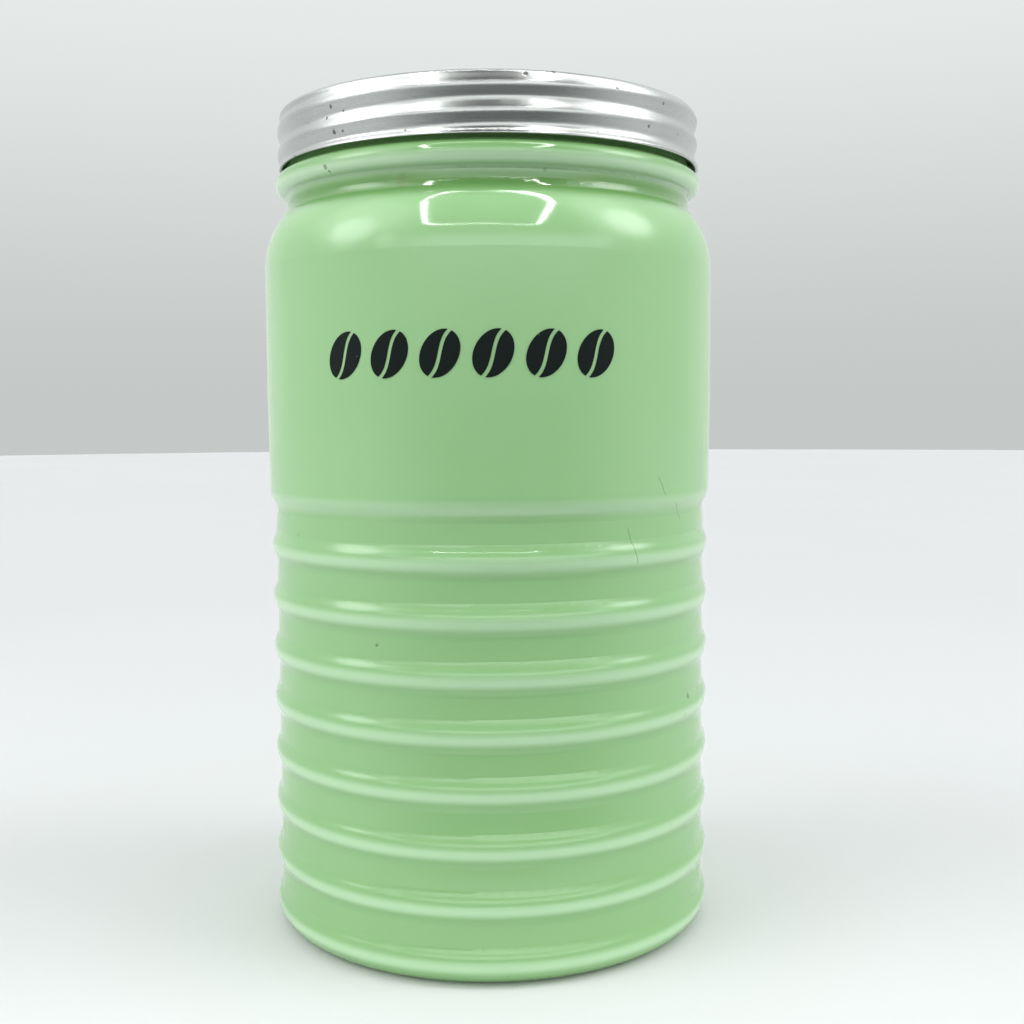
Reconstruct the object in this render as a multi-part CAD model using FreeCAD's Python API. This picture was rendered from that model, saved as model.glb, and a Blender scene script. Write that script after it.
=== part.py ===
"""Ribbed glass storage canister with a rolled-thread metal screw lid.

Millimetres, +Z up. The origin is the centre of the foot: Z = 0 is the surface that the
canister stands on, and -Y is the printed front. Each function makes one sub-part, and
each sub-part is written to parts/NODE.step.
"""
import math
import os

from FreeCAD import Rotation, Vector
import Part

os.makedirs("parts", exist_ok=True)

# ---- driving dimensions -------------------------------------------------------------
# Jar body
PANEL_RADIUS = 52.6          # plain band that carries the print
RIB_RADIUS = 52.0            # over the crests of the ribs
VALLEY_FOOT_RADIUS = 51.1    # just above a rib; from there the wall leans in
VALLEY_LEAN_DEG = 3.0
RIB_PITCH = 12.07
RIB_COUNT = 8
RIB_RISE = 4.3               # height of a rib's lower flank, up to its crest
RIB_FALL = 3.5               # height of its upper flank
RIB_HOLLOW_SHARE = 0.4       # share of a flank's two radii that the hollow one takes
HEEL_RADIUS = 5.3            # the heel is the lower half of the lowest rib
FOOT_INNER_RADIUS = 40.5     # the flat ring that it stands on ends here
PUSH_UP = 2.0                # the base inside that ring is domed up this much
PANEL_EDGE_HEIGHT = 5.4      # the band's lower edge swells out over this height
PANEL_EDGE_RADIUS = 52.3
PANEL_FULL = 124.0           # the band's slight taper ends here
SHOULDER_FOOT = 153.5
SHOULDER_ROUND = 19.0
NECK_RADIUS = 47.2
NECK_ROUND = 3.0             # hollow round between shoulder and neck
COLLAR_HEIGHT = 172.9        # middle of the round collar under the lid
COLLAR_RADIUS = 49.9         # how far out it stands
COLLAR_ROUND = 2.5
COLLAR_FILLET = 0.8

# Inside of the jar
CAVITY_RADIUS = 47.6
CAVITY_FLOOR = 6.5
CAVITY_ROUND = 4.0
CAVITY_SHOULDER = 150.0
CAVITY_SHOULDER_ROUND = 14.0
MOUTH_RADIUS = 43.2
MOUTH_ROUND = 3.0
RIM_ROUND = 0.9

# Screw lid
LID_BOTTOM = 176.2
LID_TOP = 189.2
LID_RADIUS = 48.95           # outside of the skirt, midway between ridge and groove
SHEET = 0.45
WAVE = 0.34                  # the rolled thread goes this far in and out
THREAD_PITCH = 5.24
RIDGE_HEIGHT = 180.8         # a ridge passes this height...
RIDGE_ANGLE = 275.0          # ...at this angle about +Z
WAVE_FADE = 2.1              # the thread runs out over this height under the top
HEM_SWELL = 0.28             # the rolled hem stands proud of the skirt
HEM_HEIGHT = 0.8
HEM_ROUND = 0.1              # the hem's lower edge is eased in by this
SKIRT_FOOT = 1.1             # the skirt's outside starts this far above the lid's bottom
LIP_HEIGHT = 0.5             # and its inside starts this far above
LID_CORNER = 1.4
PANEL_STEP_RADIUS = 38.5     # the top's middle is pressed up inside this radius
PANEL_STEP = 0.5
STEP_EASE = 0.6              # spacing of the poles that round the step's two bends
RINGS_PER_PITCH = 16         # poles up the skirt for each turn of the thread
RING_POLES = 72              # poles round the lid

# Sealing liner
LINER_RADIUS = 46.8
BACKING = 1.2
FACING = 0.25
SEAT_GAP = 0.05              # the soft liner is drawn just clear of glass and metal

# Thread moulded on the jar's neck
BEAD_ROUND = 1.5
BEAD_CREST = 48.48
BEAD_TOP = 184.7
BEAD_TURNS = 1.1

# Fired-on print
PRINT_HEIGHT = 132.2
PRINT_COUNT = 6
PRINT_PITCH_DEG = 11.85
PRINT_FILM = 0.1
BEAN_LONG = 10.4
BEAN_SHORT = 7.8
BEAN_TILT_DEG = 30.0
BEAN_SLIT = 0.8
BEAN_SLIT_SWAY = 0.75
CUTTER_MARGIN = 1.0          # the cutting tools pass the print's edges by this
CUTTER_REACH = 4.0           # and stand this far in and out of its film

# ---- derived dimensions -------------------------------------------------------------
VALLEY_HEIGHT = RIB_PITCH - RIB_RISE - RIB_FALL
VALLEY_TOP_RADIUS = (
    VALLEY_FOOT_RADIUS - VALLEY_HEIGHT * math.tan(math.radians(VALLEY_LEAN_DEG))
)
LID_INNER_TOP = LID_TOP - SHEET
BACKING_TOP = LID_INNER_TOP - SEAT_GAP
FACING_TOP = BACKING_TOP - BACKING
RIM_HEIGHT = FACING_TOP - FACING - SEAT_GAP

AXIS = Vector(0, 0, 1)
FULL_TURN = 360.0


class Outline:
    """A half section in the plane Y = 0, drawn edge by edge from its first point."""

    def __init__(self, radius, height):
        self.here = Vector(radius, 0, height)
        self.edges = []

    def line(self, radius, height):
        there = Vector(radius, 0, height)
        self.edges.append(Part.LineSegment(self.here, there).toShape())
        self.here = there

    def arc(self, centre_radius, centre_height, turn_deg):
        """Go round a centre; a positive turn goes from +R towards +Z."""
        centre = Vector(centre_radius, 0, centre_height)
        spoke = self.here - centre
        half = Rotation(Vector(0, -1, 0), turn_deg / 2)
        middle = centre + half.multVec(spoke)
        there = centre + half.multVec(half.multVec(spoke))
        self.edges.append(Part.Arc(self.here, middle, there).toShape())
        self.here = there

    def swell(self, rise, run, rising):
        """Two tangent arcs between the leaning wall of a valley and an upright crest.

        A rising swell leaves the valley with its hollow arc and reaches the crest, `rise`
        further out and `run` further up, with its crown arc. A falling one leaves the
        crest with its crown arc and joins the next valley with its hollow arc.
        """
        lean = math.radians(VALLEY_LEAN_DEG)
        signed_lean = lean if rising else -lean
        # The slope where the two arcs meet, from rise and run together.
        tilt = RIB_HOLLOW_SHARE * math.sin(signed_lean)
        reach = RIB_HOLLOW_SHARE * math.cos(lean) + 1 - RIB_HOLLOW_SHARE
        cosine = (run * reach - rise * tilt) / math.hypot(rise, run)
        slope = math.atan2(rise, run) + math.acos(cosine)
        radii = run / (math.sin(slope) + tilt)
        hollow = radii * RIB_HOLLOW_SHARE
        crown = radii - hollow
        hollow_turn = -math.degrees(slope + signed_lean)
        crown_turn = math.degrees(slope)

        wall_radius, wall_height = self.here.x, self.here.z
        crest_radius, crest_height = self.here.x, self.here.z
        if rising:
            crest_radius += rise
            crest_height += run
        else:
            wall_radius -= rise
            wall_height += run
        hollow_centre = (
            wall_radius + hollow * math.cos(lean),
            wall_height + hollow * math.sin(lean),
        )
        crown_centre = (crest_radius - crown, crest_height)
        if rising:
            self.arc(*hollow_centre, hollow_turn)
            self.arc(*crown_centre, crown_turn)
        else:
            self.arc(*crown_centre, crown_turn)
            self.arc(*hollow_centre, hollow_turn)

    def solid(self):
        wire = Part.Wire(Part.__sortEdges__(self.edges))
        return Part.Face(wire).revolve(Vector(0, 0, 0), AXIS, FULL_TURN)


def fillet_rise(ball, ball_radius_at, wall_radius, fillet):
    """Height from a round's centre to the centre of a fillet between it and a wall."""
    across = wall_radius + fillet - ball_radius_at
    return math.sqrt((ball + fillet) ** 2 - across ** 2)


def foot_and_ribs(outline):
    """The raised base, the foot ring, the heel and the ribs, up to the plain band."""
    dome_radius = (FOOT_INNER_RADIUS ** 2 + PUSH_UP ** 2) / (2 * PUSH_UP)
    dome_turn = math.degrees(math.asin(FOOT_INNER_RADIUS / dome_radius))
    outline.arc(0, PUSH_UP - dome_radius, -dome_turn)
    outline.line(RIB_RADIUS - HEEL_RADIUS, 0)
    outline.arc(RIB_RADIUS - HEEL_RADIUS, HEEL_RADIUS, 90)
    for rib in range(RIB_COUNT):
        if rib:
            outline.swell(RIB_RADIUS - VALLEY_TOP_RADIUS, RIB_RISE, rising=True)
        outline.swell(RIB_RADIUS - VALLEY_FOOT_RADIUS, RIB_FALL, rising=False)
        outline.line(VALLEY_TOP_RADIUS, outline.here.z + VALLEY_HEIGHT)
    edge_rise = PANEL_EDGE_RADIUS - VALLEY_TOP_RADIUS
    outline.swell(edge_rise, PANEL_EDGE_HEIGHT, rising=True)


def band_shoulder_and_collar(outline):
    """The plain band, the shoulder, the neck groove and the collar under the lid."""
    outline.line(PANEL_RADIUS, PANEL_FULL)
    outline.line(PANEL_RADIUS, SHOULDER_FOOT)
    shoulder_centre = PANEL_RADIUS - SHOULDER_ROUND
    rise = fillet_rise(SHOULDER_ROUND, shoulder_centre, NECK_RADIUS, NECK_ROUND)
    turn = math.degrees(math.asin(rise / (SHOULDER_ROUND + NECK_ROUND)))
    outline.arc(shoulder_centre, SHOULDER_FOOT, turn)
    outline.arc(NECK_RADIUS + NECK_ROUND, SHOULDER_FOOT + rise, -turn)

    collar_centre = COLLAR_RADIUS - COLLAR_ROUND
    rise = fillet_rise(COLLAR_ROUND, collar_centre, NECK_RADIUS, COLLAR_FILLET)
    turn = math.degrees(math.asin(rise / (COLLAR_ROUND + COLLAR_FILLET)))
    outline.line(NECK_RADIUS, COLLAR_HEIGHT - rise)
    outline.arc(NECK_RADIUS + COLLAR_FILLET, COLLAR_HEIGHT - rise, -turn)
    outline.arc(collar_centre, COLLAR_HEIGHT, 2 * turn)
    outline.arc(NECK_RADIUS + COLLAR_FILLET, COLLAR_HEIGHT + rise, -turn)


def rim_and_cavity(outline):
    """The rim that the liner seals on, then down the inside to the jar's floor."""
    outline.line(NECK_RADIUS, RIM_HEIGHT - RIM_ROUND)
    outline.arc(NECK_RADIUS - RIM_ROUND, RIM_HEIGHT - RIM_ROUND, 90)
    outline.line(MOUTH_RADIUS + RIM_ROUND, RIM_HEIGHT)
    outline.arc(MOUTH_RADIUS + RIM_ROUND, RIM_HEIGHT - RIM_ROUND, 90)

    shoulder_centre = CAVITY_RADIUS - CAVITY_SHOULDER_ROUND
    rise = fillet_rise(CAVITY_SHOULDER_ROUND, shoulder_centre, MOUTH_RADIUS, MOUTH_ROUND)
    turn = math.degrees(math.asin(rise / (CAVITY_SHOULDER_ROUND + MOUTH_ROUND)))
    outline.line(MOUTH_RADIUS, CAVITY_SHOULDER + rise)
    outline.arc(MOUTH_RADIUS + MOUTH_ROUND, CAVITY_SHOULDER + rise, turn)
    outline.arc(shoulder_centre, CAVITY_SHOULDER, -turn)
    outline.line(CAVITY_RADIUS, CAVITY_FLOOR + CAVITY_ROUND)
    outline.arc(CAVITY_RADIUS - CAVITY_ROUND, CAVITY_FLOOR + CAVITY_ROUND, -90)
    outline.line(0, CAVITY_FLOOR)


def ridge_angle_at(height):
    """The angle about +Z, in degrees, where the lid's ridge passes a height."""
    return RIDGE_ANGLE + FULL_TURN * (height - RIDGE_HEIGHT) / THREAD_PITCH


def neck_thread():
    """The round glass bead that the lid's inner ridges climb, with rounded ends."""
    centre_radius = BEAD_CREST - BEAD_ROUND
    height = BEAD_TURNS * THREAD_PITCH
    start_height = BEAD_TOP - height
    start = Vector(centre_radius, 0, 0)
    slope = Vector(0, 2 * math.pi * centre_radius, THREAD_PITCH)
    section = Part.Wire(Part.Circle(start, slope, BEAD_ROUND).toShape())
    path = Part.makeHelix(THREAD_PITCH, height, centre_radius)
    bead = Part.Wire(path).makePipeShell([section], True, True)
    first_tip = Part.makeSphere(BEAD_ROUND, start, slope, -90, 0)
    last_tip = Part.makeSphere(BEAD_ROUND, start, slope, 0, 90)
    last_tip.rotate(Vector(0, 0, 0), AXIS, FULL_TURN * BEAD_TURNS)
    last_tip.translate(Vector(0, 0, height))
    bead = bead.fuse(first_tip).fuse(last_tip)
    bead.rotate(Vector(0, 0, 0), AXIS, ridge_angle_at(start_height))
    bead.translate(Vector(0, 0, start_height))
    return bead


def glass_jar():
    outline = Outline(0, PUSH_UP)
    foot_and_ribs(outline)
    band_shoulder_and_collar(outline)
    rim_and_cavity(outline)
    outline.line(0, PUSH_UP)
    return outline.solid().fuse(neck_thread())


def bean_print():
    """One print of a generic coffee bean, cut from a film that wraps the band."""
    facing_out = Vector(0, -1, 0)
    ellipse = Part.Ellipse(Vector(0, 0, 0), BEAN_LONG / 2, BEAN_SHORT / 2)
    bean = Part.Face(Part.Wire(ellipse.toShape())).extrude(AXIS * 2 * CUTTER_REACH)

    def slit_side(offset):
        end = BEAN_LONG / 2 + CUTTER_MARGIN
        sway = BEAN_SLIT_SWAY
        points = [
            Vector(-end, offset, 0),
            Vector(-end / 2, offset - sway, 0),
            Vector(0, offset, 0),
            Vector(end / 2, offset + sway, 0),
            Vector(end, offset, 0),
        ]
        curve = Part.BSplineCurve()
        curve.interpolate(points)
        return curve.toShape(), points[0], points[-1]

    lower, lower_start, lower_end = slit_side(-BEAN_SLIT / 2)
    upper, upper_start, upper_end = slit_side(BEAN_SLIT / 2)
    ends = [
        Part.LineSegment(lower_start, upper_start).toShape(),
        Part.LineSegment(lower_end, upper_end).toShape(),
    ]
    slit_wire = Part.Wire(Part.__sortEdges__([lower, upper] + ends))
    slit = Part.Face(slit_wire).extrude(AXIS * 2 * CUTTER_REACH)
    stamp = bean.cut(slit)
    stamp.rotate(Vector(0, 0, 0), AXIS, 90 - BEAN_TILT_DEG)
    stamp.rotate(Vector(0, 0, 0), Vector(1, 0, 0), 90)
    stamp.translate(facing_out * (PANEL_RADIUS - CUTTER_REACH) + AXIS * PRINT_HEIGHT)
    return stamp


def enamel_print():
    """A row of coffee beans in black enamel, in place of lettering."""
    tall = BEAN_LONG + 2 * CUTTER_MARGIN
    low = Vector(0, 0, PRINT_HEIGHT - tall / 2)
    film = Part.makeCylinder(PANEL_RADIUS + PRINT_FILM, tall, low)
    film = film.cut(Part.makeCylinder(PANEL_RADIUS, tall, low))
    stamp = bean_print()
    halves = []
    for index in range(PRINT_COUNT):
        tool = stamp.copy()
        angle = (index - (PRINT_COUNT - 1) / 2) * PRINT_PITCH_DEG
        tool.rotate(Vector(0, 0, 0), AXIS, angle)
        halves += film.common(tool).Solids
    return Part.makeCompound(halves)


def ring_surface(rings):
    """A closed-round cubic B-spline surface with one ring of poles per section point.

    Each ring is (radius, height, wave share). The wave is the rolled thread: a cosine
    that climbs one pitch per turn.
    """
    turn = 2 * math.pi / RING_POLES
    # A cubic spline with poles on a circle runs inside it by this ratio.
    draw_in = (2 + math.cos(turn)) / 3
    degree = 3
    poles = []
    for step in range(RING_POLES):
        angle = step * turn
        row = []
        for radius, height, share in rings:
            climb = 2 * math.pi * (height - RIDGE_HEIGHT) / THREAD_PITCH
            phase = climb - angle + math.radians(RIDGE_ANGLE)
            out = (radius + WAVE * share * math.cos(phase)) / draw_in
            row.append(Vector(out * math.cos(angle), out * math.sin(angle), height))
        poles.append(row)
    spans = len(rings) - degree
    surface = Part.BSplineSurface()
    surface.buildFromPolesMultsKnots(
        poles,
        [1] * (RING_POLES + 1),
        [degree + 1] + [1] * (spans - 1) + [degree + 1],
        list(range(RING_POLES + 1)),
        list(range(spans + 1)),
        True,
        False,
        degree,
        degree,
    )
    return surface.toShape()


def wave_share(height):
    """Full thread up the skirt, running out to nothing just under the top."""
    left = min(max((LID_TOP - height) / WAVE_FADE, 0.0), 1.0)
    return left * left * (3 - 2 * left)


def skirt_rings(radius, bottom, top):
    """Rings up the straight skirt."""
    count = round(RINGS_PER_PITCH * (top - bottom) / THREAD_PITCH)
    rings = []
    for index in range(count + 1):
        height = bottom + (top - bottom) * index / count
        rings.append((radius, height, wave_share(height)))
    return rings


def top_rings(radius, corner, height):
    """Rings over the corner and in along the top to the pressed-up middle."""
    rings = []
    for angle in (22.5, 45.0, 67.5, 90.0):
        along = radius - corner + corner * math.cos(math.radians(angle))
        up = height - corner + corner * math.sin(math.radians(angle))
        rings.append((along, up, wave_share(up + LID_TOP - height)))
    rings.append((radius - corner - STEP_EASE, height, 0.0))
    for eases in (5, 2, 1):
        rings.append((PANEL_STEP_RADIUS + eases * STEP_EASE, height, 0.0))
    for eases in (0, 1, 4):
        rings.append((PANEL_STEP_RADIUS - eases * STEP_EASE, height + PANEL_STEP, 0.0))
    return rings


def screw_lid():
    """One sheet: hem, threaded skirt, corner and top, closed by two flat discs."""
    inner_radius = LID_RADIUS - SHEET
    hem_radius = LID_RADIUS + HEM_SWELL
    edge = ((inner_radius + hem_radius) / 2, LID_BOTTOM, 1.0)
    hem = [
        (hem_radius - HEM_ROUND, LID_BOTTOM, 1.0),
        (hem_radius, LID_BOTTOM + HEM_HEIGHT / 4, 1.0),
        (hem_radius, LID_BOTTOM + HEM_HEIGHT * 3 / 4, 1.0),
        (hem_radius - HEM_ROUND / 2, LID_BOTTOM + HEM_HEIGHT, 1.0),
    ]
    inner_corner = LID_CORNER - SHEET
    skirt = skirt_rings(LID_RADIUS, LID_BOTTOM + SKIRT_FOOT, LID_TOP - LID_CORNER)
    outer = [edge] + hem + skirt + top_rings(LID_RADIUS, LID_CORNER, LID_TOP)
    lip = [
        (inner_radius + HEM_ROUND / 2, LID_BOTTOM, 1.0),
        (inner_radius, LID_BOTTOM + LIP_HEIGHT / 3, 1.0),
    ]
    skirt = skirt_rings(inner_radius, LID_BOTTOM + LIP_HEIGHT, LID_INNER_TOP - inner_corner)
    inner = [edge] + lip + skirt + top_rings(inner_radius, inner_corner, LID_INNER_TOP)

    faces = []
    for rings in (outer, inner):
        sheet = ring_surface(rings)
        faces.append(sheet)
        inmost = max(sheet.Edges, key=lambda side: side.CenterOfMass.z)
        faces.append(Part.Face(Part.Wire(inmost)))
    shell = Part.makeShell(faces)
    shell.sewShape()
    solid = Part.makeSolid(shell)
    if solid.Volume < 0:
        solid.reverse()
    return solid


def liner_disc(top, thickness):
    return Part.makeCylinder(LINER_RADIUS, thickness, Vector(0, 0, top - thickness))


NODES = {
    "glass_jar": glass_jar(),
    "enamel_print": enamel_print(),
    "liner_backing": liner_disc(BACKING_TOP, BACKING),
    "liner_facing": liner_disc(FACING_TOP, FACING),
    "screw_lid": screw_lid(),
}

for name, shape in NODES.items():
    box = shape.BoundBox
    print(
        f"{name}: valid {shape.isValid()}, solids {len(shape.Solids)},"
        f" volume {shape.Volume / 1000:.2f} cm3, z {box.ZMin:.2f} to {box.ZMax:.2f},"
        f" radius {box.XMax:.2f}"
    )
    shape.exportStep(f"parts/{name}.step")
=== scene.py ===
"""Looks for the ribbed green glass canister: materials, small wear, studio and camera.

Metres, +Z up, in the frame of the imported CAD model. -Y is the printed front. The CAD
shapes are kept as they are; what is added here is finish, the floor and the light.
"""
import math

import bpy
from mathutils import Matrix, Vector

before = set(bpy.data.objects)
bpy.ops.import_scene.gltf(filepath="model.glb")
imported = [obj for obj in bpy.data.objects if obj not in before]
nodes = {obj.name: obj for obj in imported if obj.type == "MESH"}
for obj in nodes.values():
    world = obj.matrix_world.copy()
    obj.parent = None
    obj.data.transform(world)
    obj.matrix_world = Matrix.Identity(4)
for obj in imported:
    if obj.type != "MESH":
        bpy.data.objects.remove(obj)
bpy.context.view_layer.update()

MM = 0.001

# ---- small wear, placed by degrees round from the print and height in millimetres -----
JAR_MARKS = [(-38.5, 172.0, 0.6), (-37.8, 171.0, 0.4), (-23, 71.8, 0.4), (65, 56.2, 0.7)]
JAR_SCRATCHES = [(50, 104.3, 0.6, 2.2), (59, 98.5, 0.9, 2.0), (41, 92.0, 0.3, 4.2)]
NECK_SMUDGE = [(-17, 167.8, 1.4)]
LID_PITS = [
    (14, 188.1, 0.55),
    (21, 188.8, 0.4),
    (-37, 184.3, 0.45),
    (-33, 183.0, 0.3),
    (-39, 182.2, 0.35),
    (-36, 179.0, 0.5),
    (-33, 178.9, 0.35),
    (38, 186.8, 0.35),
    (55, 186.0, 0.35),
    (49, 180.4, 0.35),
    (-15, 177.4, 0.25),
    (150, 184.0, 0.5),
    (-120, 180.0, 0.4),
]

# ---- heights and radii that the finishes follow ---------------------------------------
RIB_PITCH = 12.07 * MM
RIB_EDGE = 4.5 * MM           # the lowest rib's painted highlight line
RIBS_TOP = 99 * MM
PANEL_EDGE = 100.5 * MM       # the plain band's lower edge
GROOVE = 167.3 * MM           # between shoulder and collar
COLLAR = 171.1 * MM
JAR_WALL = 51 * MM
NECK_WALL = 48 * MM
LID_WALL = 49 * MM
SEAL_RADIUS = 45.2 * MM       # where the rim presses on the liner

# ---- camera ----------------------------------------------------------------------------
CAMERA_AZIMUTH = math.radians(5.0)
CAMERA_DISTANCE = 0.3144
CAMERA_HEIGHT = 0.120
CAMERA_PITCH = math.radians(-4.331)
CAMERA_YAW = math.radians(0.967)
CAMERA_ROLL = math.radians(-0.310)
CAMERA_LENS = 45.63
SENSOR = 36.0

# ---- light -----------------------------------------------------------------------------
FLOOR_RADIUS = 4.0
FLOOR_STEPS = 64
BOARD_DROP = 0.5 * MM         # the bounce board lies this far under the floor
BOARD_PALE = 0.15             # and is pale within this radius of the canister
LOOP_WIDE, LOOP_DEEP, LOOP_CORNER = 0.26, 0.40, 0.07
LOOP_MIDDLE = Vector((0.018, -0.285, 0.46))
LOOP_FLARE = 1.45             # stretches it sideways, more at its near end
LOOP_LAMPS = 104
LAMP_SIZES = [0.0128, 0.0176, 0.0088, 0.0176]     # near side, right, far side, left
LOOP_GLOW = 24.0
DARK_MIDDLE = math.radians(14.0)      # which way the room is dim, from the front
DARK_HALF = math.radians(46.0)        # how far to either side
DARK_EDGE = math.radians(18.0)        # and half the width of its soft edge
DIM_LIGHT = 0.36
HAZE_MIDDLE = 0.24            # the haze across the dim part, by sine of elevation
HAZE_REACH = 0.22
HAZE_PEAK = 2.4
# Soft round glows: azimuth and elevation, half width (all degrees) and strength.
GLOWS = [
    (-72, 27, 17, 2.8),
    (89, 34, 17, 3.0),
    (-72, 36, 30, 1.3),
    (82, 38, 30, 1.6),
    (-47, 17, 8, 1.5),
    (62, 17, 8, 1.5),
]


# ---- node helpers --------------------------------------------------------------------
class Steps:
    """Builds a node tree one step at a time; each step returns its output socket."""

    def __init__(self, tree):
        self.tree = tree

    def feed(self, socket, value):
        """Links a socket to another's output, or sets it to a plain value."""
        if isinstance(value, bpy.types.NodeSocket):
            self.tree.links.new(value, socket)
        else:
            socket.default_value = value

    def math(self, operation, first, second=0.0, clamp=False):
        step = self.tree.nodes.new("ShaderNodeMath")
        step.operation = operation
        step.use_clamp = clamp
        self.feed(step.inputs[0], first)
        self.feed(step.inputs[1], second)
        return step.outputs[0]

    def remap(self, value, low, high, to_low=0.0, to_high=1.0, smooth=False):
        step = self.tree.nodes.new("ShaderNodeMapRange")
        step.interpolation_type = "SMOOTHSTEP" if smooth else "LINEAR"
        for index, entry in enumerate((value, low, high, to_low, to_high)):
            self.feed(step.inputs[index], entry)
        return step.outputs[0]

    def blend(self, share, first, second):
        """Between two plain values."""
        step = self.tree.nodes.new("ShaderNodeMix")
        for index, entry in ((0, share), (2, first), (3, second)):
            self.feed(step.inputs[index], entry)
        return step.outputs[0]

    def strip(self, value, middle, full, gone, strength=1.0):
        """`strength` within `full` of the middle, fading to nothing at `gone`."""
        off = self.math("ABSOLUTE", self.math("SUBTRACT", value, middle))
        return self.remap(off, full, gone, strength, 0.0, smooth=True)

    def split(self, vector):
        step = self.tree.nodes.new("ShaderNodeSeparateXYZ")
        self.feed(step.inputs[0], vector)
        return step.outputs


class Finish(Steps):
    """A material with one Principled shader."""

    def __init__(self, name):
        self.material = bpy.data.materials.new(name)
        self.material.use_nodes = True
        super().__init__(self.material.node_tree)
        self.tree.nodes.clear()
        output = self.tree.nodes.new("ShaderNodeOutputMaterial")
        self.shader = self.tree.nodes.new("ShaderNodeBsdfPrincipled")
        self.tree.links.new(self.shader.outputs[0], output.inputs["Surface"])
        coordinates = self.tree.nodes.new("ShaderNodeTexCoord")
        self.place = coordinates.outputs["Object"]

    def set(self, **values):
        """Sets or links the shader's own inputs, by names with _ for a space."""
        for name, value in values.items():
            self.feed(self.shader.inputs[name.replace("_", " ")], value)

    def stretch(self, vector, scale):
        step = self.tree.nodes.new("ShaderNodeMapping")
        self.feed(step.inputs["Vector"], vector)
        self.feed(step.inputs["Scale"], scale)
        return step.outputs[0]

    def noise(self, vector, scale, detail=2.0, roughness=0.5, distortion=0.0):
        step = self.tree.nodes.new("ShaderNodeTexNoise")
        self.feed(step.inputs["Vector"], vector)
        for name, value in (
            ("Scale", scale),
            ("Detail", detail),
            ("Roughness", roughness),
            ("Distortion", distortion),
        ):
            self.feed(step.inputs[name], value)
        return step.outputs[0]

    def cells(self, vector, scale):
        """Distance to the nearest of many scattered points."""
        step = self.tree.nodes.new("ShaderNodeTexVoronoi")
        self.feed(step.inputs["Vector"], vector)
        self.feed(step.inputs["Scale"], scale)
        return step.outputs["Distance"]

    def mix(self, share, first, second):
        """Between two colours."""
        step = self.tree.nodes.new("ShaderNodeMix")
        step.data_type = "RGBA"
        step.clamp_factor = True
        self.feed(step.inputs[0], share)
        self.feed(step.inputs[6], first)
        self.feed(step.inputs[7], second)
        return step.outputs[2]

    def around(self):
        """Angle about Z in radians, 0 at the printed front and positive towards +X,
        with the radius and the height, both in metres."""
        x, y, height = self.split(self.place)
        angle = self.math("ARCTAN2", x, self.math("MULTIPLY", y, -1.0))
        across = self.math("MULTIPLY", x, x)
        along = self.math("MULTIPLY", y, y)
        radius = self.math("SQRT", self.math("ADD", across, along))
        return angle, radius, height

    def spots(self, places, around, wall_radius):
        """Ragged marks on the outside of a wall, at (degrees, height, radius), the last
        two in millimetres."""
        angle, radius, height = around
        ragged = self.noise(self.place, 1500.0, 2.0)
        total = 0.0
        for degrees, up, size in places:
            turned = self.math("SUBTRACT", angle, math.radians(degrees))
            across = self.math("MULTIPLY", turned, wall_radius)
            along = self.math("SUBTRACT", height, up * MM)
            square = self.math("MULTIPLY", across, across)
            square = self.math("ADD", square, self.math("MULTIPLY", along, along))
            away = self.math("DIVIDE", self.math("SQRT", square), size * MM)
            away = self.math("ADD", away, ragged)
            total = self.math("MAXIMUM", total, self.remap(away, 1.2, 1.6, 1.0, 0.0))
        outside = self.remap(radius, wall_radius - 2.5 * MM, wall_radius - 2.0 * MM)
        return self.math("MULTIPLY", total, outside)

    def hairlines(self, places, around, wall_radius):
        """Fine scratches on a wall, at (degrees, height, lean, half length), with height
        and half length in millimetres."""
        angle, _, height = around
        waver = self.noise(self.place, 350.0, 1.0)
        sway = self.remap(waver, 0.0, 1.0, -0.4 * MM, 0.4 * MM)
        total = 0.0
        for degrees, up, lean, half in places:
            turned = self.math("SUBTRACT", angle, math.radians(degrees))
            across = self.math("MULTIPLY", turned, wall_radius)
            along = self.math("SUBTRACT", height, up * MM)
            off = self.math("ADD", across, self.math("MULTIPLY", along, lean))
            off = self.math("ABSOLUTE", self.math("ADD", off, sway))
            thin = self.remap(off, 0.06 * MM, 0.14 * MM, 1.0, 0.0)
            along = self.math("ABSOLUTE", along)
            reach = self.remap(along, 0.8 * half * MM, half * MM, 1.0, 0.0)
            total = self.math("MAXIMUM", total, self.math("MULTIPLY", thin, reach))
        return total

    def relief(self, height, depth, normal=None):
        """A bump whose height map runs from 0 to 1 over `depth` metres."""
        step = self.tree.nodes.new("ShaderNodeBump")
        step.inputs["Strength"].default_value = 1.0
        step.inputs["Distance"].default_value = depth
        self.feed(step.inputs["Height"], height)
        if normal is not None:
            self.feed(step.inputs["Normal"], normal)
        return step.outputs[0]


def rgb(red, green, blue):
    return (red, green, blue, 1.0)


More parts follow.
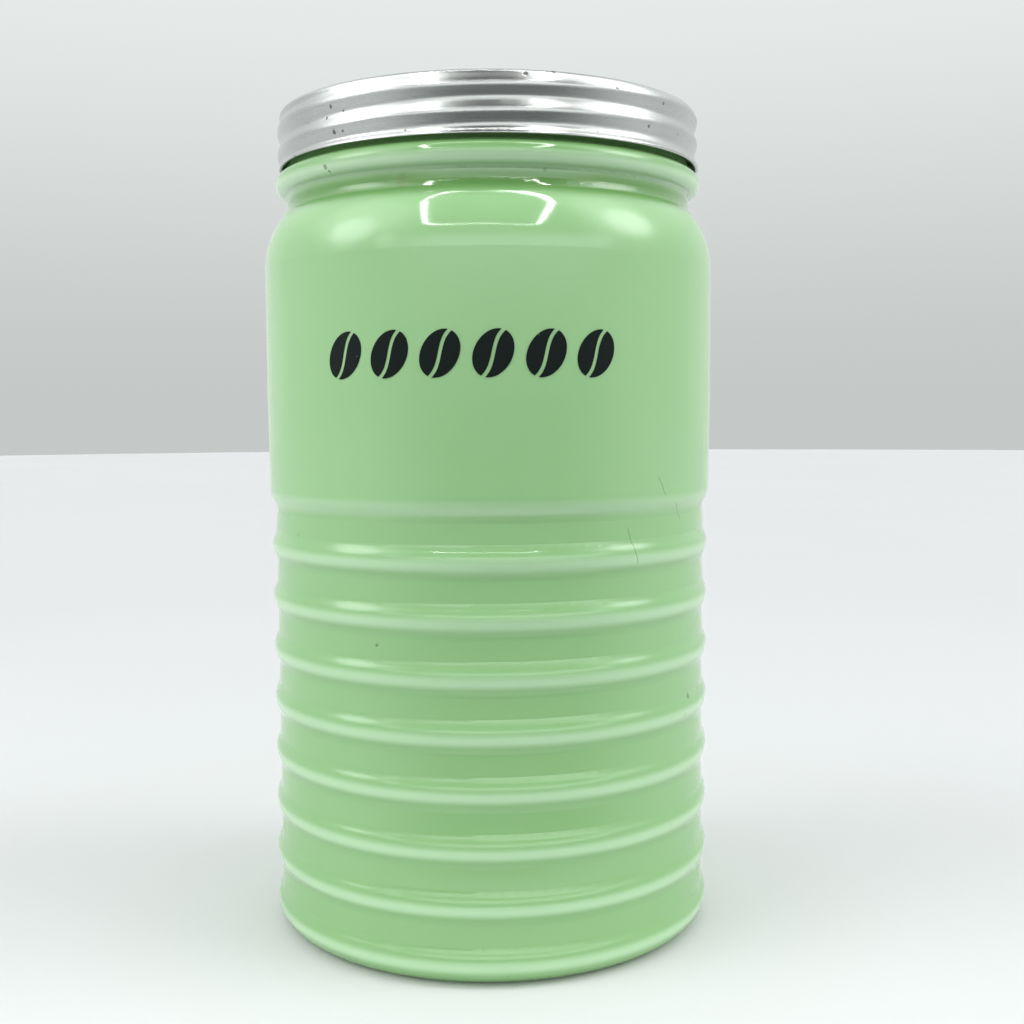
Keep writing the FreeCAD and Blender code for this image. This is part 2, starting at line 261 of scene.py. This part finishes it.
# ---- materials -----------------------------------------------------------------------
def jade_glass():
    """Opaque milk glass: pale green, faintly clouded, fire-polished, with light wear, and
    with painted highlights and painted shade in its colour.
    """
    finish = Finish("jade_glass")
    around = finish.around()
    height = around[2]
    clouds = finish.noise(finish.place, 14.0, 3.0, 0.55, 0.6)
    body = finish.mix(clouds, rgb(0.30, 0.53, 0.245), rgb(0.335, 0.575, 0.28))
    # Painted highlight: pale lines on each rib's lower edge, at the plain band's lower
    # edge and on the collar.
    # Painted shade: a deeper green in the valleys, the neck groove, under the lid and at
    # the foot.
    rib_highlight = finish.math("DIVIDE", finish.math("SUBTRACT", height, RIB_EDGE), RIB_PITCH)
    rib_highlight = finish.math("ABSOLUTE", finish.math("SUBTRACT", rib_highlight, finish.math("ROUND", rib_highlight)))
    rib_highlight = finish.remap(rib_highlight, 0.02, 0.17, 1.0, 0.0, smooth=True)
    ribbed = finish.remap(height, RIBS_TOP - 1 * MM, RIBS_TOP + 2 * MM, 1.0, 0.0)
    # Painted shade: the valleys between the ribs are painted a deeper green.
    valley_shade = finish.math("MULTIPLY", finish.math("SUBTRACT", 1.0, rib_highlight), ribbed)
    # The valleys' painted shade is stronger towards the bottom.
    depth = finish.remap(height, 0.0, RIBS_TOP, 0.37, 0.12)
    valley_shade = finish.math("MULTIPLY", valley_shade, depth)
    rib_highlight = finish.math("MULTIPLY", rib_highlight, ribbed)
    # Painted highlights along the plain band's lower edge and across the collar's face.
    panel_edge_highlight = finish.strip(height, PANEL_EDGE, 0.5 * MM, 2.5 * MM, 0.7)
    collar_highlight = finish.strip(height, COLLAR, 0.8 * MM, 2.6 * MM, 1.4)
    pale = finish.math("MAXIMUM", rib_highlight, finish.math("MAXIMUM", panel_edge_highlight, collar_highlight))
    # Painted highlight: the rib, band-edge and collar lines are mixed towards a pale
    # green.
    body = finish.mix(finish.math("MULTIPLY", pale, 0.55), body, rgb(0.58, 0.78, 0.55))
    specks = finish.cells(finish.place, 130.0)
    rare = finish.noise(finish.place, 38.0, 1.0)
    speck = finish.math(
        "MULTIPLY",
        finish.remap(specks, 0.05, 0.09, 1.0, 0.0),
        finish.remap(rare, 0.62, 0.68),
        clamp=True,
    )
    # Painted shade: the neck groove under the collar and the neck under the lid are
    # painted darker.
    groove_shade = finish.strip(height, GROOVE, 0.8 * MM, 3.8 * MM)
    under_lid_shade = finish.remap(height, 171.8 * MM, 174.6 * MM, smooth=True)
    groove_shade = finish.math("MULTIPLY", groove_shade, 0.9)
    under_lid_shade = finish.math("MULTIPLY", under_lid_shade, 0.62)
    neck_shade = finish.math("MAXIMUM", groove_shade, under_lid_shade)
    # Painted shade: a deep green band at the foot, where it meets the floor.
    foot_shade = finish.remap(height, 0.5 * MM, 4.0 * MM, 0.8, 0.0, smooth=True)
    hollow_shade = finish.math("MAXIMUM", neck_shade, finish.math("MAXIMUM", valley_shade, foot_shade))
    # All the painted shade is mixed in, towards a deep green.
    body = finish.mix(hollow_shade, body, rgb(0.13, 0.30, 0.075))
    smudge = finish.spots(NECK_SMUDGE, around, NECK_WALL)
    body = finish.mix(finish.math("MULTIPLY", smudge, 0.2), body, rgb(0.20, 0.13, 0.05))
    marks = finish.spots(JAR_MARKS, around, JAR_WALL)
    scratches = finish.hairlines(JAR_SCRATCHES, around, JAR_WALL)
    flaws = finish.math("MAXIMUM", speck, finish.math("MAXIMUM", marks, scratches))
    colour = finish.mix(finish.math("MULTIPLY", flaws, 0.6), body, rgb(0.08, 0.09, 0.05))
    finish.set(Base_Color=colour)

    dust = finish.noise(finish.place, 60.0, 6.0, 0.7)
    waves = finish.noise(finish.stretch(finish.place, (1.0, 1.0, 0.6)), 34.0, 1.0, 0.4)
    finish.set(
        Roughness=finish.remap(dust, 0.3, 0.75, 0.055, 0.15),
        Normal=finish.relief(waves, 0.10 * MM),
        Subsurface_Weight=0.15,
        Subsurface_Radius=(1.0, 1.4, 0.9),
        Subsurface_Scale=1.5 * MM,
        IOR=1.6,
    )
    return finish.material


def black_enamel():
    """Fired enamel: dense black, a little orange-peel, thin at a few pinholes."""
    finish = Finish("black_enamel")
    pinholes = finish.cells(finish.place, 900.0)
    worn = finish.noise(finish.place, 160.0, 4.0, 0.65)
    thin = finish.math(
        "MULTIPLY",
        finish.remap(pinholes, 0.06, 0.12, 1.0, 0.0),
        finish.remap(worn, 0.58, 0.64),
        clamp=True,
    )
    colour = finish.mix(thin, rgb(0.002, 0.007, 0.006), rgb(0.18, 0.26, 0.15))
    peel = finish.noise(finish.place, 700.0, 2.0)
    finish.set(
        Base_Color=colour,
        Roughness=finish.remap(worn, 0.3, 0.7, 0.3, 0.42),
        Specular_IOR_Level=0.15,
        Normal=finish.relief(peel, 0.015 * MM),
    )
    return finish.material


def worn_aluminium():
    """Bare rolled sheet: soft sheen, fine lines from rolling, pits and dull patches."""
    finish = Finish("worn_aluminium")
    placed = finish.spots(LID_PITS, finish.around(), LID_WALL)
    dull = finish.noise(finish.place, 30.0, 5.0, 0.65)
    drawn_out = finish.stretch(finish.place, (12.0, 12.0, 900.0))
    lines = finish.noise(drawn_out, 1.0, 3.0, 0.6)
    pits = finish.cells(finish.place, 420.0)
    rare = finish.noise(finish.place, 120.0, 2.0)
    pit = finish.math(
        "MULTIPLY",
        finish.remap(pits, 0.08, 0.2, 1.0, 0.0),
        finish.remap(rare, 0.6, 0.66),
        clamp=True,
    )
    pit = finish.math("MAXIMUM", pit, placed)
    metal = finish.mix(dull, rgb(0.575, 0.575, 0.57), rgb(0.465, 0.465, 0.46))
    colour = finish.mix(finish.math("MULTIPLY", pit, 0.8), metal, rgb(0.09, 0.085, 0.075))
    finish.set(
        Base_Color=colour,
        Metallic=1.0,
        Roughness=finish.remap(lines, 0.3, 0.7, 0.24, 0.34),
        Normal=finish.relief(pit, -0.04 * MM),
    )
    return finish.material


def pulpboard():
    """Grey-brown board: mottled, with short fibres."""
    finish = Finish("pulpboard")
    mottle = finish.noise(finish.place, 90.0, 5.0, 0.7)
    drawn_out = finish.stretch(finish.place, (300.0, 1400.0, 600.0))
    fibres = finish.noise(drawn_out, 1.0, 4.0, 0.7)
    colour = finish.mix(mottle, rgb(0.24, 0.17, 0.10), rgb(0.42, 0.33, 0.22))
    dark = finish.remap(fibres, 0.35, 0.45, 0.6, 0.0)
    finish.set(
        Base_Color=finish.mix(dark, colour, rgb(0.13, 0.09, 0.05)),
        Roughness=0.85,
        Normal=finish.relief(fibres, 0.12 * MM),
    )
    return finish.material


def waxed_paper():
    """Waxed white paper: a dull gloss, a pressed ring from the rim, coffee stains."""
    finish = Finish("waxed_paper")
    _, radius, _ = finish.around()
    stain = finish.noise(finish.place, 45.0, 5.0, 0.65, 0.8)
    colour = finish.mix(
        finish.remap(stain, 0.5, 0.72), rgb(0.80, 0.76, 0.66), rgb(0.52, 0.38, 0.22)
    )
    ring = finish.strip(radius, SEAL_RADIUS, 0.7 * MM, 1.5 * MM)
    colour = finish.mix(finish.math("MULTIPLY", ring, 0.5), colour, rgb(0.45, 0.38, 0.27))
    crinkle = finish.noise(finish.place, 160.0, 4.0, 0.6, 0.4)
    pressed = finish.relief(ring, -0.15 * MM)
    finish.set(
        Base_Color=colour,
        Roughness=finish.remap(crinkle, 0.3, 0.7, 0.3, 0.5),
        Normal=finish.relief(crinkle, 0.06 * MM, pressed),
    )
    return finish.material


def floor_paper():
    """The pale floor, with the faintest tooth."""
    finish = Finish("floor_paper")
    tooth = finish.noise(finish.place, 400.0, 3.0)
    shade = finish.noise(finish.place, 3.0, 2.0)
    colour = finish.mix(shade, rgb(0.725, 0.715, 0.735), rgb(0.765, 0.755, 0.775))
    finish.set(
        Base_Color=colour, Roughness=0.75, Normal=finish.relief(tooth, 0.03 * MM)
    )
    return finish.material


def wear(node, material):
    """Gives a CAD node its finished material in every slot."""
    mesh = nodes[node].data
    if not mesh.materials:
        mesh.materials.append(material)
    for index in range(len(mesh.materials)):
        mesh.materials[index] = material


# ---- studio --------------------------------------------------------------------------
def photo_camera():
    """The camera stands 5 degrees to the right of the print and looks a little down."""
    forward = Vector(
        (
            math.sin(CAMERA_YAW) * math.cos(CAMERA_PITCH),
            math.cos(CAMERA_YAW) * math.cos(CAMERA_PITCH),
            math.sin(CAMERA_PITCH),
        )
    )
    level = Vector((math.cos(CAMERA_YAW), -math.sin(CAMERA_YAW), 0.0))
    above = level.cross(forward)
    right = level * math.cos(CAMERA_ROLL) + above * math.sin(CAMERA_ROLL)
    up = above * math.cos(CAMERA_ROLL) - level * math.sin(CAMERA_ROLL)
    turn = Matrix.Rotation(CAMERA_AZIMUTH, 4, "Z")
    axes = Matrix((right, up, -forward)).transposed().to_4x4()
    data = bpy.data.cameras.new("camera")
    data.lens = CAMERA_LENS
    data.sensor_width = SENSOR
    camera = bpy.data.objects.new("camera", data)
    bpy.context.collection.objects.link(camera)
    spot = Matrix.Translation((0.0, -CAMERA_DISTANCE, CAMERA_HEIGHT))
    camera.matrix_world = turn @ spot @ axes
    bpy.context.scene.camera = camera


def disk(name, height, material):
    """A plain round sheet about the canister, wide enough to reach the horizon."""
    rim = []
    for step in range(FLOOR_STEPS):
        turn = 2 * math.pi * step / FLOOR_STEPS
        rim.append((FLOOR_RADIUS * math.cos(turn), FLOOR_RADIUS * math.sin(turn), height))
    mesh = bpy.data.meshes.new(name)
    mesh.from_pydata(rim, [], [tuple(range(FLOOR_STEPS))])
    mesh.materials.append(material)
    sheet = bpy.data.objects.new(name, mesh)
    bpy.context.collection.objects.link(sheet)
    return sheet


def floor():
    """The pale floor that is seen. It sends no light up and stops none going down."""
    paper = disk("floor", 0.0, floor_paper())
    paper.visible_diffuse = False
    paper.visible_glossy = False
    paper.visible_shadow = False


def lamp_glow():
    glow = bpy.data.materials.new("lamp_glow")
    glow.use_nodes = True
    tree = glow.node_tree
    tree.nodes.clear()
    output = tree.nodes.new("ShaderNodeOutputMaterial")
    emission = tree.nodes.new("ShaderNodeEmission")
    emission.inputs["Strength"].default_value = LOOP_GLOW
    emission.inputs["Color"].default_value = rgb(0.96, 1.0, 0.98)
    tree.links.new(emission.outputs[0], output.inputs["Surface"])
    return glow


def along_loop(run):
    """The side of the loop (0 nearest the camera) and the place on it, counted along
    and outward from the middle of that side, at a length of `run` round the loop."""
    arc = math.pi * LOOP_CORNER / 2
    for side in range(4):
        straight = (LOOP_WIDE, LOOP_DEEP)[side % 2] - 2 * LOOP_CORNER
        if run < straight:
            return side, run - straight / 2, 0.0
        run -= straight
        if run < arc:
            angle = run / LOOP_CORNER
            along = straight / 2 + LOOP_CORNER * math.sin(angle)
            return side, along, -LOOP_CORNER * (1 - math.cos(angle))
        run -= arc


def light_loop():
    """A rounded, flared rectangle of small square lamps overhead, in front of the
    canister. The camera doesn't see it."""
    straights = 2 * (LOOP_WIDE + LOOP_DEEP - 4 * LOOP_CORNER)
    length = straights + 2 * math.pi * LOOP_CORNER
    vertices, faces = [], []
    for lamp in range(LOOP_LAMPS):
        side, along, out = along_loop(length * lamp / LOOP_LAMPS)
        half = (LOOP_DEEP, LOOP_WIDE)[side % 2] / 2 + out
        quarter = Matrix.Rotation(math.radians(90 * side), 3, "Z")
        place = quarter @ Vector((along, -half, 0.0))
        place.x *= LOOP_FLARE - place.y / LOOP_DEEP
        centre = LOOP_MIDDLE + place
        reach = LAMP_SIZES[side] / 2
        first = len(vertices)
        for across, up in ((-1, -1), (-1, 1), (1, 1), (1, -1)):
            vertices.append(centre + Vector((across * reach, up * reach, 0.0)))
        faces.append(tuple(range(first, first + 4)))
    mesh = bpy.data.meshes.new("light_loop")
    mesh.from_pydata(vertices, [], faces)
    mesh.materials.append(lamp_glow())
    loop = bpy.data.objects.new("light_loop", mesh)
    bpy.context.collection.objects.link(loop)
    loop.visible_camera = False


def bounce_board():
    """A board just under the floor, which gives the light that comes up from below: pale
    close to the canister and to the back and sides, and dark further out in front."""
    finish = Finish("bounce_board")
    angle, radius, _ = finish.around()
    off = finish.math("ABSOLUTE", finish.math("SUBTRACT", angle, DARK_MIDDLE))
    aside = finish.remap(off, math.radians(18), math.radians(80), smooth=True)
    close = finish.remap(radius, BOARD_PALE - 5 * MM, BOARD_PALE + 5 * MM, 1.0, 0.0)
    pale = finish.math("MAXIMUM", aside, close)
    finish.set(
        Base_Color=finish.mix(pale, rgb(0.1, 0.11, 0.11), rgb(0.76, 0.76, 0.77)),
        Roughness=0.75,
    )
    board = disk("bounce_board", -BOARD_DROP, finish.material)
    board.visible_camera = False


def surroundings():
    """Pale walls of light at the back and sides, with a dimmer opening in front that has
    a band of haze across it and soft glows about it."""
    world = bpy.data.worlds.new("studio")
    world.use_nodes = True
    steps = Steps(world.node_tree)
    background = world.node_tree.nodes["Background"]
    direction = world.node_tree.nodes.new("ShaderNodeTexCoord").outputs["Generated"]
    x, y, z = steps.split(direction)      # z is the sine of the elevation

    ahead = steps.math("MULTIPLY", x, math.sin(DARK_MIDDLE))
    ahead = steps.math("ADD", ahead, steps.math("MULTIPLY", y, -math.cos(DARK_MIDDLE)))
    across = steps.math("MULTIPLY", x, x)
    level = steps.math("ADD", across, steps.math("MULTIPLY", y, y))
    level = steps.math("MAXIMUM", steps.math("SQRT", level), 0.001)
    opening = steps.remap(
        steps.math("DIVIDE", ahead, level),
        math.cos(DARK_HALF + DARK_EDGE),
        math.cos(DARK_HALF - DARK_EDGE),
        smooth=True,
    )

    walls = steps.remap(z, 0.3, 0.6, 0.55, 0.85, smooth=True)
    walls = steps.math("ADD", walls, steps.remap(y, 0.3, 0.9, 0.0, 0.25, smooth=True))
    sides = steps.math("ADD", steps.math("MULTIPLY", across, 0.5), 1.0)
    ceiling = steps.remap(z, 0.80, 0.95, 0.0, -0.2, smooth=True)
    bright = steps.math("ADD", steps.math("MULTIPLY", walls, sides), ceiling)
    for azimuth, elevation, width, strength in GLOWS:
        azimuth, elevation = math.radians(azimuth), math.radians(elevation)
        aim = (
            math.sin(azimuth) * math.cos(elevation),
            -math.cos(azimuth) * math.cos(elevation),
            math.sin(elevation),
        )
        toward = 0.0
        for part, share in zip((x, y, z), aim):
            toward = steps.math("ADD", steps.math("MULTIPLY", part, share), toward)
        edge = math.cos(math.radians(width))
        glow = steps.remap(toward, edge, 1.0, 0.0, strength, smooth=True)
        bright = steps.math("ADD", bright, glow)

    from_haze = steps.math("ABSOLUTE", steps.math("SUBTRACT", z, HAZE_MIDDLE))
    dim = steps.remap(from_haze, 0.0, HAZE_REACH, HAZE_PEAK, DIM_LIGHT, smooth=True)
    fade = steps.remap(z, 0.4, 0.7, 1.0, 0.25, smooth=True)
    dim = steps.math("MULTIPLY", dim, fade)

    backdrop = steps.remap(z, 0.0, 0.35, 0.58, 0.85, smooth=True)
    camera_ray = world.node_tree.nodes.new("ShaderNodeLightPath").outputs["Is Camera Ray"]
    light = steps.blend(opening, bright, dim)
    seen = steps.blend(camera_ray, light, backdrop)
    background.inputs["Color"].default_value = rgb(0.955, 1.0, 0.985)
    steps.feed(background.inputs["Strength"], seen)
    bpy.context.scene.world = world


def studio():
    """The staging, which isn't part of the object."""
    floor()
    light_loop()
    bounce_board()
    surroundings()
    bpy.context.scene.view_settings.view_transform = "Standard"


wear("glass_jar", jade_glass())
wear("enamel_print", black_enamel())
wear("screw_lid", worn_aluminium())
wear("liner_backing", pulpboard())
wear("liner_facing", waxed_paper())
studio()
photo_camera()
